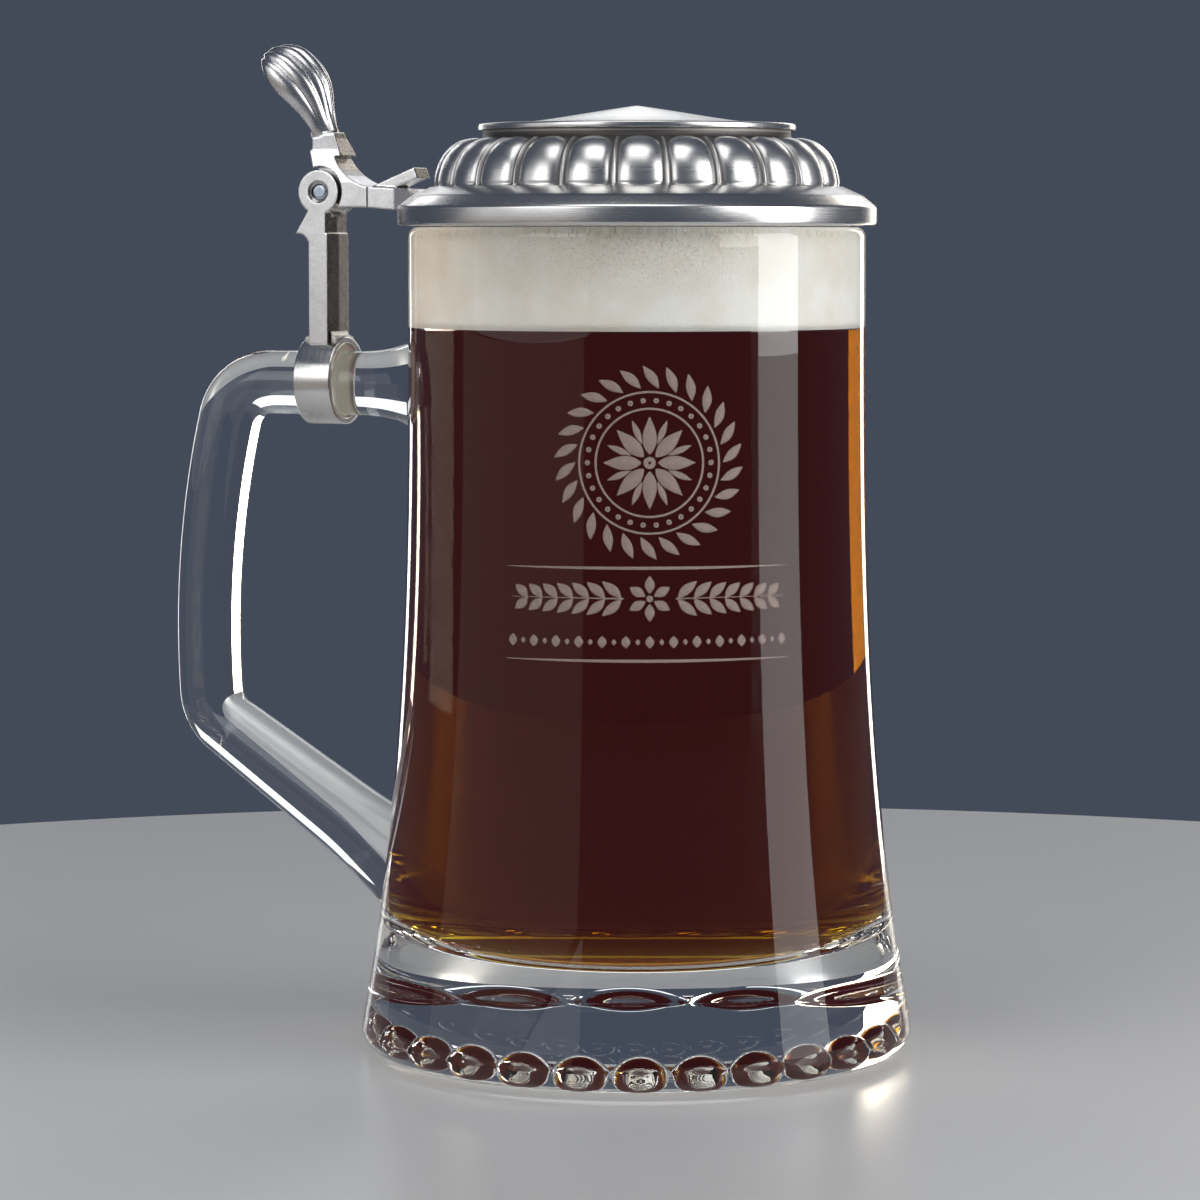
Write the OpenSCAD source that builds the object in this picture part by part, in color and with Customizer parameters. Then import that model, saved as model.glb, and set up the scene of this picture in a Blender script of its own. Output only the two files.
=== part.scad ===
// Glass beer stein with a hinged pewter lid.
// Millimetres, +Z up. The origin is the centre of the foot, on the table.
// The handle and the hinge point along -X, and the lid swings open over the handle.

/* [Glass] */
// Height of the glass from the table to its rim
glass_h = 155.6; // [130:0.1:188]
// Outer radius of the glass at the rim
rim_r = 43; // [36:0.5:52]
// How far the side flares out between the rim and the table
flare = 10.2; // [4:0.1:14]
// How late the flare comes: 1 is a straight cone, 4 stays upright for most of the height
flare_power = 3.1; // [1.5:0.1:4]
// Thickness of the wall
wall = 3.7; // [2.6:0.1:6]
// Thickness of the floor at its centre
floor_t = 19; // [13:0.5:25]
// Radius of the hollow where the floor turns up into the wall
bowl_r = 10; // [4:0.5:18]
// Radius of the outside corner between the side and the foot
foot_corner = 4.5; // [2:0.1:6]
// Width of the flat ring that the glass stands on
foot_ring_w = 3; // [1.5:0.1:5]
// Height of the hollow under the base
kick_h = 2.5; // [1:0.1:4]
// Number of round scallops under the base
scallops = 24; // [12:1:26]
// Radius of the ball that cuts one scallop
scallop_r = 6.5; // [5:0.1:7]
// How far the ball's centre lies below the table
scallop_sink = 1.5; // [0.5:0.1:3]

/* [Handle] */
// Diameter of the glass rod that the handle is bent from
handle_d = 12.4; // [10:0.1:14.9]
// How far the middle of the grip stands out from the rim of the glass
handle_reach = 47.4; // [40:0.1:58]
// Drop from the rim of the glass to the middle of the top bar
bar_drop = 30.1; // [24:0.1:36]
// Bend radius of the two corners, at the middle of the rod
corner_r = 9; // [8:0.1:12]
// Radius of the slow bow of the grip
bow_r = 180; // [120:1:240]
// Lean of the grip at the top corner, in degrees off upright
lean_top = 13.5; // [8:0.5:18]
// Lean of the grip the other way at the lower corner, in degrees
lean_low = 3.8; // [1:0.1:6]
// Slope of the lower bar, in degrees below level
low_slope = 33.5; // [20:0.1:40]
// How much the rod's radius grows along the lower bar, up to its root
low_swell = 1.8; // [0:0.1:2.5]
// How far each bar's root spreads along the bar, outside the glass
root_len = 11; // [6:0.5:16]
// How much the rod's radius grows over that length
root_spread = 3; // [1:0.1:4.5]

/* [Clamp ring] */
// Mean wall of the soft liner between the glass and the ring
liner_t = 0.9; // [0.8:0.1:1.5]
// How far each end of the liner lies inside the ring
liner_inset = 0.4; // [0:0.1:1.2]
// Wall of the metal ring
ring_t = 1.25; // [1:0.05:2.5]
// Width of the metal ring along the bar
ring_w = 7.7; // [6:0.1:10]
// How far the ring's centre lies above the bar's, so that the liner is thinnest below
ring_lift = 0.5; // [0:0.1:0.6]

/* [Hinge] */
// Distance from the rim of the glass out to the hinge pin
pin_reach = 21; // [19:0.1:26]
// Height of the hinge pin above the rim of the glass
pin_rise = 6.7; // [5.5:0.1:9]
// Diameter of the hinge pin
pin_d = 3.1; // [2:0.1:3.6]
// Outer radius of the knuckles
knuckle_r = 4.25; // [3.5:0.05:5.1]
// Width of the whole hinge along the pin
hinge_w = 9.6; // [8.5:0.1:13]
// Width of the lid's knuckle, between the two fixed ones
mid_w = 3.6; // [2.6:0.1:4.6]
// Thickness of the shank, across the handle
shank_t = 4.2; // [3.4:0.1:5]
// Height of the ridge down the shank's mug side
shank_ridge = 0.2; // [0.1:0.05:1]
// Step in the shank's mug side, just below the knuckles
shank_step = 0.35; // [0:0.05:0.6]
// Size of the solder fillets at the shank's foot
solder_r = 1.3; // [0.8:0.1:1.4]
// How far the lid opens, in degrees
open_deg = 130; // [110:1:132]

/* [Lid] */
// How far the lid's rim stands out past the glass
lid_overhang = 2; // [1:0.1:4]
// Height of the upright edge of the lid
edge_h = 3.5; // [2.5:0.1:4.5]
// Width of the slope from the edge in to the dome
slope_w = 6.4; // [5:0.1:8]
// Rise of that slope
slope_h = 3.7; // [3:0.1:4.5]
// Width that the fluted dome takes up as it rises
dome_run = 9; // [7:0.1:12]
// Rise of the fluted dome
dome_h = 10.1; // [8:0.1:13]
// Thickness of the round plate on top of the dome
disc_t = 1.2; // [0.8:0.1:2]
// Rise of the cone in the middle of the plate
cone_h = 3.5; // [1.5:0.1:5]
// Flat width of the plate around the cone
disc_flat = 8; // [4:0.5:12]
// Thickness of the lid's metal
lid_wall = 1.8; // [1.2:0.1:2.2]
// Number of flutes round the dome
flutes = 24; // [12:1:30]
// Width of the groove between two flutes, in degrees
groove_deg = 2.8; // [2:0.1:4]
// Width of the bead in each groove, in degrees
bead_deg = 1; // [0.6:0.1:1.4]

/* [Thumblift] */
// Height of the thumblift's tip above the pin
lift_h = 28.6; // [26:0.1:34]
// Half-width of its shell
shell_hw = 7.3; // [5:0.1:9]
// How much larger than that the radius of its domed front is
shell_round = 1.7; // [0.5:0.1:4]
// Half-width of its neck
neck_hw = 2.4; // [1.8:0.1:3.2]
// Number of lobes round the shell's tip
lobes = 7; // [3:1:9]

/* [Clearances] */
// Gap between the closed lid and the glass
lid_gap = 0.2; // [0.1:0.05:0.5]
// Gap round the pin and round the handle's liner, on the radius
run_gap = 0.05; // [0.02:0.01:0.1]
// Gap at each side of the lid's knuckle
side_gap = 0.15; // [0.1:0.05:0.3]
// Gap between a knuckle and the hollow cut round it
knuckle_gap = 0.65; // [0.3:0.05:0.9]
// Angle left between the lid's stop and the spur when the lid is fully open, in degrees
stop_gap = 1.5; // [0.5:0.1:3]

/* [Hidden] */
$fn = 96;
steps = 8; // straight stretches in one curve of an outline

GLASS_TINT = [0.80, 0.88, 0.90, 0.45];
PEWTER = [0.70, 0.70, 0.69];
NICKEL = [0.76, 0.76, 0.78];

inner_r = rim_r - wall;
handle_r = handle_d / 2;
lap = 0.3;                              // how far the rod's bars and bow reach into its corners
slim_r = handle_r - 0.05;               // their radius, so that they end inside the corners' ends
bar_z = glass_h - bar_drop;
ring_z = bar_z + ring_lift;
pin_x = -(rim_r + pin_reach);
pin_z = glass_h + pin_rise;
liner_r = handle_r + run_gap + liner_t; // outside of the liner
ring_r = liner_r + run_gap + ring_t;    // outside of the ring
hollow_r = knuckle_r + knuckle_gap;     // hollow cut round a knuckle
counterbore_r = pin_d / 2 + 0.5;
counterbore_t = 0.5;
lid_z = glass_h + lid_gap;
lid_r = rim_r + lid_overhang;
slope_z = edge_h + slope_h;
dome_r = lid_r - slope_w - 0.4;         // foot of the dome, a small step in from the slope
disc_r = dome_r - dome_run + 0.6;       // the plate overhangs the dome's top
disc_z = slope_z + dome_h + 0.5;        // underside of the plate, over a shadow gap
stop_deg = 107;                         // where the thumblift's stop face lies when the lid is closed
seam_x = 10.4;                          // joint between the thumblift's casting and the tang, from the pin
tang_low = -3;                          // underside of both at that joint, from the pin

// A cubic curve through four control points, and the same as a list of points.
function bezier(p, t) = pow(1 - t, 3) * p[0] + 3 * pow(1 - t, 2) * t * p[1]
    + 3 * (1 - t) * t * t * p[2] + pow(t, 3) * p[3];
function curve(p, last = 1) = [for (i = [0:steps]) bezier(p, last * i / steps)];
function polar(r, a) = r * [cos(a), sin(a)];
function arc(c, r, a0, a1) = [for (i = [0:steps]) c + polar(r, a0 + (a1 - a0) * i / steps)];

// Outside radius of the glass at height z.
function side_r(z) = rim_r + flare * pow(1 - z / glass_h, flare_power);

// Draws children, outlined in X and Z about the hinge pin, as a slab of width w across the pin.
module slab(w) {
    translate([pin_x, w / 2, pin_z]) rotate([90, 0, 0]) linear_extrude(w) children();
}

// A round bar along the pin, of radius r and width w.
module round_bar(r, w) {
    translate([pin_x, w / 2, pin_z]) rotate([90, 0, 0]) cylinder(r = r, h = w);
}

// ---- glass ----

module glass_outside() {
    kick_run = 12; // how far the hollow under the base slopes up from the foot ring
    corner = [side_r(foot_corner) - foot_corner, foot_corner];
    rim = [rim_r - wall / 2, glass_h - wall / 2];
    heights = [for (i = [1:22]) foot_corner + (rim.y - foot_corner) * i / 22];
    rotate_extrude() polygon(concat(
        [[0, kick_h], [corner.x - foot_ring_w - kick_run, kick_h], [corner.x - foot_ring_w, 0],
         [corner.x, 0]],
        arc(corner, foot_corner, -75, 0),
        [for (z = heights) [side_r(z), z]],
        arc(rim, wall / 2, 10, 90),
        [[0, glass_h]]));
}

module glass_hollow() {
    rim = [rim_r - wall / 2, glass_h - wall / 2];
    rotate_extrude() polygon(concat(
        [[0, floor_t]],
        arc([inner_r - bowl_r, floor_t + bowl_r], bowl_r, -90, 0),
        arc(rim, wall / 2, 180, 90),
        [[rim.x, glass_h + 1], [0, glass_h + 1]]));
}

// Part of a bent rod of radius tube in the plane of the handle, about c at bend radius r, from a0 to a1.
module bend(c, r, a0, a1, tube) {
    translate([c.x, 0, c.y]) rotate([90, -a0, 0])
        rotate_extrude(angle = a1 - a0) translate([r, 0]) circle(r = tube);
}

// A straight rod from a to b in the plane of the handle. It swells to radius mid, and over its last len it
// spreads to radius root.
module bar(a, b, mid, len, root) {
    d = b - a;
    straight = norm(d) - len;
    translate([a.x, 0, a.y]) rotate([0, atan2(d.x, d.y), 0]) {
        translate([0, 0, -lap]) cylinder(r1 = slim_r, r2 = mid, h = straight + lap);
        translate([0, 0, straight]) cylinder(r1 = mid, r2 = root, h = len);
    }
}

// The rod runs out along the top bar, down the bowed grip and back along the sloping lower bar.
module handle() {
    bow = [-(rim_r + handle_reach) + bow_r, 0];
    top_tip = bow + polar(bow_r - corner_r, 180 - lean_top);
    lift = [0, bar_z - corner_r - top_tip.y];
    low_bend = bow + lift + polar(bow_r - corner_r, 180 + lean_low);
    low_start = low_bend + polar(corner_r, 270 - low_slope);
    low_end = [-inner_r, low_start.y - (-inner_r - low_start.x) * tan(low_slope)];
    top_root = root_len + wall;
    low_root = root_len + (wall + 4) / cos(low_slope); // the glass is thicker here
    lap_deg = lap / bow_r * 180 / PI;
    low_mid = slim_r + low_swell;
    top_end = slim_r + root_spread * top_root / root_len;
    bar([top_tip.x, bar_z], [-inner_r, bar_z], slim_r, top_root, top_end);
    bend(top_tip + lift, corner_r, 90, 180 - lean_top, handle_r);
    bend(bow + lift, bow_r, 180 - lean_top - lap_deg, 180 + lean_low + lap_deg, slim_r);
    bend(low_bend, corner_r, 180 + lean_low, 270 - low_slope, handle_r);
    bar(low_start, low_end, low_mid, low_root, low_mid + root_spread / 2 * low_root / root_len);
}

module scallop_cuts() {
    ring = side_r(foot_corner) - foot_corner - foot_ring_w - scallop_r + 0.5;
    // each ball is laid over, so that its poles fall where its neighbours cut it
    for (i = [0:scallops - 1])
        rotate([0, 0, 360 / scallops * (i + 0.5)]) translate([ring, 0, -scallop_sink])
            rotate([90, 0, 0]) sphere(r = scallop_r);
}

module glass_mug() {
    color(GLASS_TINT) difference() {
        union() {
            glass_outside();
            handle();
        }
        glass_hollow();
        scallop_cuts();
    }
}

// ---- fittings on the handle ----

// A round bar of radius r and width w under the hinge, along the handle's top bar, at height z.
module under_hinge(r, w, z) {
    translate([pin_x - w / 2, 0, z]) rotate([0, 90, 0]) cylinder(r = r, h = w);
}

module ring_liner() {
    color([0.90, 0.90, 0.86]) difference() {
        under_hinge(liner_r, ring_w - 2 * liner_inset, ring_z);
        under_hinge(handle_r + run_gap, ring_w + 2, bar_z);
    }
}

module handle_ring() {
    color(PEWTER) difference() {
        under_hinge(ring_r, ring_w, ring_z);
        under_hinge(liner_r + run_gap, ring_w + 2, ring_z);
    }
}

// What the ring takes up, cut from the pieces that stand on it.
module ring_cut() {
    under_hinge(ring_r, 2 * ring_w, ring_z);
}

// A concave fillet of solder along each long side of the shank's foot.
module ring_solder() {
    top = ring_z + ring_r + solder_r - pin_z;
    side = [-shank_t / 2, shank_t / 2 - shank_ridge];
    color([0.62, 0.61, 0.58]) difference() {
        for (s = [0, 1])
            slab(hinge_w - 2) difference() {
                translate([s == 0 ? side[0] - solder_r : shank_t / 2, top - 2.5 * solder_r])
                    square([solder_r, 2.5 * solder_r]);
                translate([s == 0 ? side[0] - solder_r : shank_t / 2 + solder_r, top]) circle(r = solder_r);
            }
        ring_cut();
    }
}

// ---- hinge ----

// Plan of the shank: flat behind and at both ends, with a ridge down the mug side set back by step.
module shank_plan(step) {
    front = shank_t / 2 - step;
    w = hinge_w / 2;
    polygon([[-shank_t / 2, -w], [front - shank_ridge, -w], [front, 0], [front - shank_ridge, w],
             [-shank_t / 2, w]]);
}

module hinge_shank() {
    step_z = -7.9; // where the shank gets thinner, from the pin
    spur_deg = stop_deg + open_deg + stop_gap;
    color(NICKEL) difference() {
        union() {
            translate([pin_x, 0, ring_z]) linear_extrude(pin_z + step_z - ring_z) shank_plan(0);
            translate([pin_x, 0, pin_z + step_z]) linear_extrude(-step_z) shank_plan(shank_step);
            round_bar(knuckle_r, hinge_w);
            slab(hinge_w) polygon(concat(
                [[0, step_z], [0, -2], polar(knuckle_r - 1, spur_deg + 8), polar(knuckle_r + 0.2, spur_deg),
                 polar(9.3, spur_deg)],
                curve([[-4.3, step_z - 0.1], [-3.4, step_z], [-2.6, step_z - 0.6], [-shank_t / 2, -9.8]])));
        }
        round_bar(hollow_r, mid_w + 2 * side_gap);
        round_bar(pin_d / 2 + run_gap, hinge_w + 2);
        for (s = [-1, 1])
            translate([0, s * hinge_w / 2, 0]) round_bar(counterbore_r, 2 * counterbore_t);
        ring_cut();
    }
}

module hinge_pin() {
    len = hinge_w - 2 * counterbore_t;
    bevel = 0.3;
    color([0.58, 0.63, 0.68]) translate([pin_x, len / 2, pin_z]) rotate([90, 0, 0]) {
        cylinder(r1 = pin_d / 2 - bevel, r2 = pin_d / 2, h = bevel);
        translate([0, 0, bevel]) cylinder(r = pin_d / 2, h = len - 2 * bevel);
        translate([0, 0, len - bevel]) cylinder(r1 = pin_d / 2, r2 = pin_d / 2 - bevel, h = bevel);
    }
}

// ---- thumblift ----

// Side view of the block round the pin: a stop face behind, a ledge on top and a cove towards the lid.
module block_side() {
    ledge = polar(8.5, stop_deg);
    polygon(concat([[seam_x, tang_low], [3, tang_low], [0, 0], ledge, [2.4, ledge.y]],
                   curve([[2.6, 8.7], [2.7, 5.8], [5.5, 2], [seam_x, 1]])));
}

// Side view of the shell: a front that sweeps back, a round tip and a hollow back.
module shell_side() {
    up = lift_h - 28.6;
    polygon(concat(curve([[4.4, 6.9], [-1.5, 17], [4.5, 20.5 + up], [-4.4, 27.2 + up]]),
                   curve([[-4.4, 27.2 + up], [-6.3, 28.9 + up], [-11.5, 29.3 + up], [-12.8, 25.6 + up]]),
                   curve([[-12.8, 25.6 + up], [-10.6, 19.5 + up], [-1.6, 14.5], [-1.9, 7]])));
}

// A cylinder that leans back with the shell, along the crest of its domed front.
module shell_dome() {
    foot = [5, 7];   // the crest's low end, from the pin
    lean = 20.7;
    r = shell_hw + shell_round;
    translate([pin_x + foot.x, 0, pin_z + foot.y]) rotate([0, -lean, 0]) translate([-r, 0, -2 * foot.y])
        cylinder(r = r, h = 2 * lift_h);
}

// Front view of the thumblift: a wide block, a narrow neck and a lobed fan, the same on both sides.
module front_view() {
    fan = lift_h - shell_hw;
    edge_hw = shell_hw * 0.95;
    turns = 6 * steps;
    tip = [for (i = [1:turns]) let (a = 90 * i / turns, size = 0.95 + 0.05 * abs(cos(lobes * (90 - a))))
           [0, fan] + polar(shell_hw * size, a)];
    half = concat([[hinge_w / 2, -hinge_w], [hinge_w / 2, 2], [3.4, 8.2]],
                  curve([[neck_hw, 11], [neck_hw, 16], [edge_hw, fan - 5], [edge_hw, fan]]), tip);
    polygon(concat(half, [for (i = [len(half) - 2:-1:0]) [-half[i].x, half[i].y]]));
}

module thumblift() {
    color(NICKEL) difference() {
        intersection() {
            union() {
                difference() {
                    slab(hinge_w) block_side();
                    round_bar(hollow_r, hinge_w + 2);
                }
                slab(mid_w) block_side();
                round_bar(knuckle_r, mid_w);
                intersection() {
                    slab(3 * shell_hw) shell_side();
                    shell_dome();
                }
            }
            translate([pin_x - 40, 0, pin_z]) rotate([90, 0, 90]) linear_extrude(80) front_view();
        }
        round_bar(pin_d / 2 + run_gap, mid_w + 2);
        for (s = [-1, 1])
            translate([0, s * (mid_w + hinge_w) / 2, 0]) round_bar(hollow_r, hinge_w);
    }
}

// ---- lid ----

function dome_curve(last) = curve([[dome_r, slope_z], [dome_r - 0.4, slope_z + dome_h * 0.5],
                                   [dome_r - dome_run * 0.3, slope_z + dome_h * 0.9],
                                   [dome_r - dome_run, slope_z + dome_h]], last);

// Outside of the lid as a full solid, before the flutes.
module lid_blank() {
    cone_r = disc_r - disc_flat;
    top = disc_z + disc_t;
    translate([0, 0, lid_z]) rotate_extrude() polygon(concat(
        [[0, 0], [lid_r, 0], [lid_r, edge_h], [dome_r + 0.4, slope_z]],
        dome_curve(1),
        [[disc_r - 1, slope_z + dome_h], [disc_r - 1, disc_z], [disc_r - 0.3, disc_z],
         [disc_r, disc_z + 0.3], [disc_r, top - 0.4], [disc_r - 0.4, top]],
        [for (i = [steps:-1:0]) [cone_r * i / steps, top + cone_h * (1 + cos(180 * i / steps)) / 2]]));
}

module lid_hollow() {
    seat_in = inner_r + wall * 0.5;
    foot_r = dome_r - lid_wall;
    roof = slope_z + dome_h - lid_wall + 0.6;
    translate([0, 0, lid_z]) rotate_extrude() polygon(concat(
        [[0, -1], [seat_in, -1], [seat_in, 1.2], [foot_r, slope_z - lid_wall]],
        curve([[foot_r, slope_z], [foot_r - 0.4, slope_z + (roof - slope_z) * 0.5],
               [foot_r - dome_run * 0.3, slope_z + (roof - slope_z) * 0.9], [foot_r - dome_run, roof]]),
        [[0, roof]]));
}

// One stretch of the dome's skin, deg wide, between the dome's curve moved by a and by b.
module dome_strip(deg, a, b) {
    low = slope_z + 0.15;
    line = dome_curve(0.9);
    rotate([0, 0, -deg / 2]) rotate_extrude(angle = deg) polygon(concat(
        [for (p = line) [p.x + a.x, max(p.y + a.y, low)]],
        [for (i = [steps:-1:0]) [line[i].x + b.x, max(line[i].y + b.y, low)]]));
}

module lid() {
    color(PEWTER) union() {
        difference() {
            lid_blank();
            lid_hollow();
            for (i = [0:flutes - 1])
                translate([0, 0, lid_z]) rotate([0, 0, 360 / flutes * i])
                    dome_strip(groove_deg, [-0.7, -0.45], [1.5, 1]);
        }
        for (i = [0:flutes - 1])
            translate([0, 0, lid_z]) rotate([0, 0, 360 / flutes * i])
                dome_strip(bead_deg, [-0.95, -0.65], [-0.1, -0.05]);
    }
}

// The strap from the thumblift to the lid's rim, with a short leaf that stands up from it.
module lid_tang() {
    leaf_w = 6;
    edge = -pin_x - lid_r;           // how far the lid's edge lies from the pin
    edge_z = lid_z + edge_h - pin_z; // height of that edge's top, from the pin
    color(NICKEL) difference() {
        union() {
            intersection() {
                slab(2 * hinge_w) polygon([
                    [seam_x, tang_low], [seam_x, 1], [edge + 0.5, edge_z + 3.5], [edge + 2.8, edge_z + 2.1],
                    [edge + 7, edge_z - 1.3], [edge, edge_z - 0.7]]);
                translate([pin_x, 0, pin_z - 20]) linear_extrude(40) polygon([
                    [seam_x, -hinge_w / 2], [edge - 3, -hinge_w / 2], [edge + 3, -hinge_w / 2 - 2.5],
                    [edge + 3, hinge_w / 2 + 2.5], [edge - 3, hinge_w / 2], [seam_x, hinge_w / 2]]);
            }
            slab(leaf_w) polygon([[seam_x, 1], [edge + 0.4, edge_z + 7.7], [edge + 1.2, edge_z + 5.6],
                                  [seam_x + 4.2, 0.6], [seam_x, -1]]);
        }
        lid_blank();
    }
}

glass_mug();
ring_liner();
handle_ring();
ring_solder();
hinge_shank();
hinge_pin();
thumblift();
lid_tang();
lid();
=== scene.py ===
import math
import bmesh
import bpy
import numpy as np
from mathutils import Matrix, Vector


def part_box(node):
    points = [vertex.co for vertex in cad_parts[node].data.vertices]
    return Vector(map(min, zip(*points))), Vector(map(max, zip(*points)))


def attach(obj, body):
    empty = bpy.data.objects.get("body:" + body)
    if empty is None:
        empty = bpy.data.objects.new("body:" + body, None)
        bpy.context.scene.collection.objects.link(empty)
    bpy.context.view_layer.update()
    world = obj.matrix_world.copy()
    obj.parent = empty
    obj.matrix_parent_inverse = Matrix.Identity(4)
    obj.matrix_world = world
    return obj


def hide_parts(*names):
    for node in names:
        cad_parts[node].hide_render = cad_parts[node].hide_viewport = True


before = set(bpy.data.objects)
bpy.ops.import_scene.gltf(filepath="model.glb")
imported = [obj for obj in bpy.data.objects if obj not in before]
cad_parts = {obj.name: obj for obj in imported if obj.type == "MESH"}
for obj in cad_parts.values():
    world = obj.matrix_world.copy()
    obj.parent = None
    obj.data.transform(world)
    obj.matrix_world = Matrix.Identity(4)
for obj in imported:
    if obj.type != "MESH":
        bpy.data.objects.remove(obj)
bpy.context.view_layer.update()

mm = 0.001
scene = bpy.context.scene


# shader maths

class Wire:
    # one output of a node, so that shader maths reads as plain maths
    def __init__(self, tree, socket):
        self.tree = tree
        self.socket = socket

    def maths(self, operation, *values):
        node = self.tree.nodes.new("ShaderNodeMath")
        node.operation = operation
        for slot, value in zip(node.inputs, values):
            plug(self.tree, slot, value)
        return Wire(self.tree, node.outputs[0])

    def __add__(self, other):
        return self.maths("ADD", self, other)

    def __radd__(self, other):
        return self.maths("ADD", other, self)

    def __sub__(self, other):
        return self.maths("SUBTRACT", self, other)

    def __rsub__(self, other):
        return self.maths("SUBTRACT", other, self)

    def __mul__(self, other):
        return self.maths("MULTIPLY", self, other)

    def __rmul__(self, other):
        return self.maths("MULTIPLY", other, self)

    def __pow__(self, other):
        return self.maths("POWER", self, other)


def plug(tree, slot, value):
    if isinstance(value, Wire):
        tree.links.new(value.socket, slot)
    elif isinstance(value, (tuple, list)) and len(value) == 3 and slot.type == "RGBA":
        slot.default_value = (*value, 1)
    else:
        slot.default_value = value


class Finish:
    # one material: the shader's constant values, and one method that adds any other node
    def __init__(self, name, values):
        self.material = bpy.data.materials.new(name)
        self.material.use_nodes = True
        self.tree = self.material.node_tree
        self.shader = self.tree.nodes["Principled BSDF"]
        self.output = self.tree.nodes["Material Output"]
        for socket, value in values.items():
            plug(self.tree, self.shader.inputs[socket], value)

    def node(self, kind, settings, inputs, output=0):
        node = self.tree.nodes.new("ShaderNode" + kind)
        for key, value in settings.items():
            setattr(node, key, value)
        for key, value in inputs.items():
            plug(self.tree, node.inputs[key], value)
        return Wire(self.tree, node.outputs[output])

    def feed(self, socket, value):
        plug(self.tree, self.shader.inputs[socket], value)

    def place(self):
        # the piece's own coordinates, in millimetres
        at = self.node("TexCoord", {}, {}, "Object")
        return self.node("VectorMath", {"operation": "SCALE"}, {0: at, "Scale": 1 / mm})

    def axes(self, vector):
        split = self.node("SeparateXYZ", {}, {0: vector})
        node = split.socket.node
        return [Wire(self.tree, node.outputs[i]) for i in range(3)]

    def noise(self, vector, scale, detail=3, roughness=0.55):
        inputs = {"Vector": vector, "Scale": scale, "Detail": detail, "Roughness": roughness}
        return self.node("TexNoise", {}, inputs, "Fac")

    def cells(self, vector, scale, feature="F1"):
        return self.node("TexVoronoi", {"feature": feature}, {"Vector": vector, "Scale": scale}, "Distance")

    def blend(self, factor, first, second):
        # a colour between two others
        return self.node("Mix", {"data_type": "RGBA"}, {0: factor, 6: first, 7: second}, 2)

    def spread(self, value, low, high, newLow=0.0, newHigh=1.0):
        inputs = {"Value": value, "From Min": low, "From Max": high, "To Min": newLow, "To Max": newHigh}
        return self.node("MapRange", {"clamp": True}, inputs)

    def bump(self, height, strength, distance):
        inputs = {"Height": height, "Strength": strength, "Distance": distance * mm}
        self.feed("Normal", self.node("Bump", {}, inputs))


# mesh making

def gridFaces(rows, cols, wrapRows=False, wrapCols=False):
    # quads between neighbouring points of a rows by cols grid
    row = np.arange(rows if wrapRows else rows - 1)[:, None]
    col = np.arange(cols if wrapCols else cols - 1)[None, :]
    nextRow = (row + 1) % rows
    nextCol = (col + 1) % cols
    corners = [row * cols + col, row * cols + nextCol, nextRow * cols + nextCol, nextRow * cols + col]
    return np.stack([c + 0 * row + 0 * col for c in corners], axis=-1).reshape(-1, 4)


def cappedFaces(rows, cols):
    # a tube's quads, and one face over each end
    return gridFaces(rows, cols, wrapCols=True).tolist() + [
        list(range(cols)), list(range((rows - 1) * cols, rows * cols))]


def newMesh(name, points, faces):
    mesh = bpy.data.meshes.new(name)
    faces = faces.tolist() if isinstance(faces, np.ndarray) else faces
    mesh.from_pydata((np.asarray(points, float).reshape(-1, 3) * mm).tolist(), [], faces)
    return mesh


def tidyMesh(mesh, merge=1e-4):
    # closes seams and poles and turns every face outwards; merge is in millimetres
    work = bmesh.new()
    work.from_mesh(mesh)
    bmesh.ops.remove_doubles(work, verts=work.verts, dist=merge * mm)
    bmesh.ops.dissolve_degenerate(work, edges=work.edges, dist=merge * mm / 4)
    bmesh.ops.recalc_face_normals(work, faces=work.faces)
    work.to_mesh(mesh)
    work.free()


def addObject(name, mesh, materials=()):
    for finish in materials:
        mesh.materials.append(finish.material)
    mesh.polygons.foreach_set("use_smooth", np.ones(len(mesh.polygons), bool))
    mesh.update()
    piece = bpy.data.objects.new(name, mesh)
    scene.collection.objects.link(piece)
    return piece


def settle(piece):
    # applies the piece's modifiers to its mesh
    graph = bpy.context.evaluated_depsgraph_get()
    mesh = bpy.data.meshes.new_from_object(piece.evaluated_get(graph), depsgraph=graph)
    piece.modifiers.clear()
    old = piece.data
    piece.data = mesh
    bpy.data.meshes.remove(old)
    mesh.polygons.foreach_set("use_smooth", np.ones(len(mesh.polygons), bool))
    return piece


def install(piece, body, stands=()):
    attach(piece, body)
    if stands:
        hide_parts(*stands)
    print("made", piece.name, len(piece.data.polygons), "faces")
    return piece


def turned(outline, angles, lift=None):
    # each outline point (radius, height) goes round the Z axis through angles
    # lift adds its own (radius, height) to every point
    radius = outline[:, 0][:, None] + 0 * angles[None, :]
    height = outline[:, 1][:, None] + 0 * angles[None, :]
    if lift is not None:
        radius = radius + lift[0]
        height = height + lift[1]
    return np.stack([radius * np.cos(angles), radius * np.sin(angles), height], axis=-1)


def unit(degrees):
    # the step of length 1 in that direction
    return np.array([math.cos(math.radians(degrees)), math.sin(math.radians(degrees))])


def evenAngles(count):
    return np.arange(count) * 2 * math.pi / count


def arcLine(centre, radius, start, end, count):
    # points on an arc, from angle start to angle end in degrees
    angle = np.radians(np.linspace(start, end, count))
    return np.stack([centre[0] + radius * np.cos(angle), centre[1] + radius * np.sin(angle)], axis=-1)


def bezierLine(control, count):
    # a cubic curve from the first control point to the last, pulled by the two between
    t = np.linspace(0, 1, count)[:, None]
    a, b, c, d = np.asarray(control, float)
    return (1 - t) ** 3 * a + 3 * (1 - t) ** 2 * t * b + 3 * (1 - t) * t ** 2 * c + t ** 3 * d


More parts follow.
